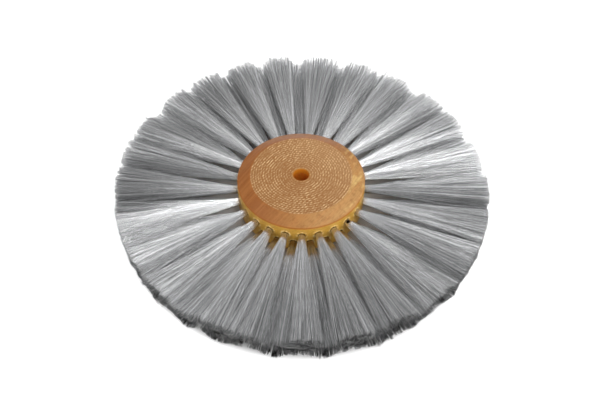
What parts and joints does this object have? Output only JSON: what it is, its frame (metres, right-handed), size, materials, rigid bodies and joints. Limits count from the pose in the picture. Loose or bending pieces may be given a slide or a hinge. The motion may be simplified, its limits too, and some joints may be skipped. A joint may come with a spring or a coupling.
{
  "type": "wire wheel brush",
  "caption": "Wire wheel brush: a turned wooden hub with a spindle bore, a chamfered cover disc and staggered rows of straight steel-wire tufts held on draw wires.",
  "frame": {"origin": "on the bore axis, in the plane of the hub's lower end face, which the brush rests on", "axes": "+Z along the bore axis from the lower end face towards the cover disc; -Y lies 1 degree from the middle of a tuft of the upper row"},
  "size_m": [0.149, 0.149, 0.018],
  "materials": {
    "cover_wood": "sanded flat face, sealed orange-brown chamfer",
    "body_wood": "turned, sealed, golden yellow",
    "tuft_steel": "bright drawn steel wire, loose bundle",
    "draw_wire": "soft iron wire, dull"
  },
  "bodies": {
    "root": {"hub_body": "body_wood", "hub_cover": "cover_wood", "draw_wire_upper": "draw_wire", "draw_wire_lower": "draw_wire", "tuft_upper_01": "tuft_steel", "tuft_upper_02": "tuft_steel", "tuft_upper_03": "tuft_steel", "tuft_upper_04": "tuft_steel", "tuft_upper_05": "tuft_steel", "tuft_upper_06": "tuft_steel", "tuft_upper_07": "tuft_steel", "tuft_upper_08": "tuft_steel", "tuft_upper_09": "tuft_steel", "tuft_upper_10": "tuft_steel", "tuft_upper_11": "tuft_steel", "tuft_upper_12": "tuft_steel", "tuft_upper_13": "tuft_steel", "tuft_upper_14": "tuft_steel", "tuft_upper_15": "tuft_steel", "tuft_upper_16": "tuft_steel", "tuft_upper_17": "tuft_steel", "tuft_upper_18": "tuft_steel", "tuft_upper_19": "tuft_steel", "tuft_upper_20": "tuft_steel", "tuft_upper_21": "tuft_steel", "tuft_upper_22": "tuft_steel", "tuft_upper_23": "tuft_steel", "tuft_upper_24": "tuft_steel", "tuft_upper_25": "tuft_steel", "tuft_lower_01": "tuft_steel", "tuft_lower_02": "tuft_steel", "tuft_lower_03": "tuft_steel", "tuft_lower_04": "tuft_steel", "tuft_lower_05": "tuft_steel", "tuft_lower_06": "tuft_steel", "tuft_lower_07": "tuft_steel", "tuft_lower_08": "tuft_steel", "tuft_lower_09": "tuft_steel", "tuft_lower_10": "tuft_steel", "tuft_lower_11": "tuft_steel", "tuft_lower_12": "tuft_steel", "tuft_lower_13": "tuft_steel", "tuft_lower_14": "tuft_steel", "tuft_lower_15": "tuft_steel", "tuft_lower_16": "tuft_steel", "tuft_lower_17": "tuft_steel", "tuft_lower_18": "tuft_steel", "tuft_lower_19": "tuft_steel", "tuft_lower_20": "tuft_steel", "tuft_lower_21": "tuft_steel", "tuft_lower_22": "tuft_steel", "tuft_lower_23": "tuft_steel", "tuft_lower_24": "tuft_steel", "tuft_lower_25": "tuft_steel"}
  },
  "joints": []
}
